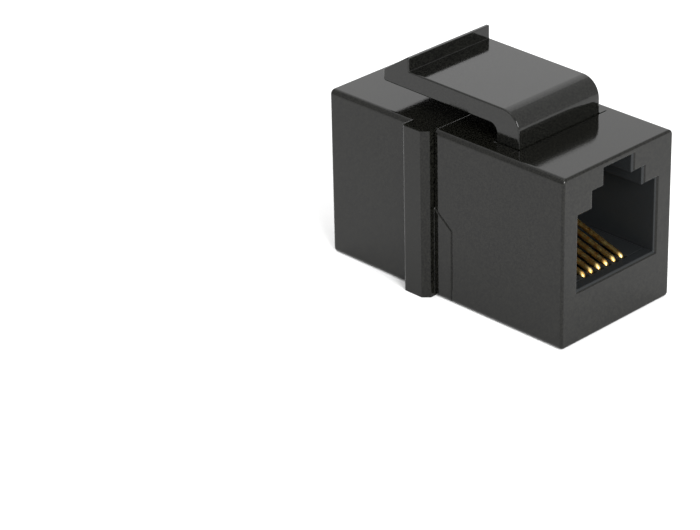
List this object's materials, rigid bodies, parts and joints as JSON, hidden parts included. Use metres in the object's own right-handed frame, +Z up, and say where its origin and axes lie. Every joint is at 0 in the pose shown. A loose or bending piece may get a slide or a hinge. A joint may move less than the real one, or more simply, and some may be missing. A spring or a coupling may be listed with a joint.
{
  "type": "keystone jack",
  "caption": "Black in-line keystone coupler with a modular phone socket at each end, side ribs and a sprung snap-in latch.",
  "frame": {"origin": "middle of the flat underside", "axes": "+X to the right seen from the front, +Y from the front face to the rear face, +Z up to the latch"},
  "size_m": [0.0166, 0.0284, 0.0213],
  "materials": {
    "housing_plastic": "satin black moulded plastic",
    "latch_plastic": "satin black moulded plastic",
    "block_plastic": "matt black moulded plastic",
    "board": "glass laminate with green solder mask",
    "contact_gold": "gold-plated wire",
    "solder": "bright solder"
  },
  "bodies": {
    "housing": {"front_housing": "housing_plastic", "rear_housing": "housing_plastic", "front_contact_block": "block_plastic", "rear_contact_block": "block_plastic", "circuit_board": "board", "front_contact_1": "contact_gold", "front_contact_2": "contact_gold", "front_contact_3": "contact_gold", "front_contact_4": "contact_gold", "front_contact_5": "contact_gold", "front_contact_6": "contact_gold", "rear_contact_1": "contact_gold", "rear_contact_2": "contact_gold", "rear_contact_3": "contact_gold", "rear_contact_4": "contact_gold", "rear_contact_5": "contact_gold", "rear_contact_6": "contact_gold", "front_solder_joints": "solder", "rear_solder_joints": "solder"},
    "latch": {"latch_clip": "latch_plastic"}
  },
  "joints": [
    {"name": "latch_flex", "type": "hinge", "parent": "housing", "child": "latch", "pos_m": [0, 0.00595, 0.016], "axis": [1, 0, 0], "range_deg": [0, 6], "stiffness_Nm_per_rad": 0.02}
  ]
}
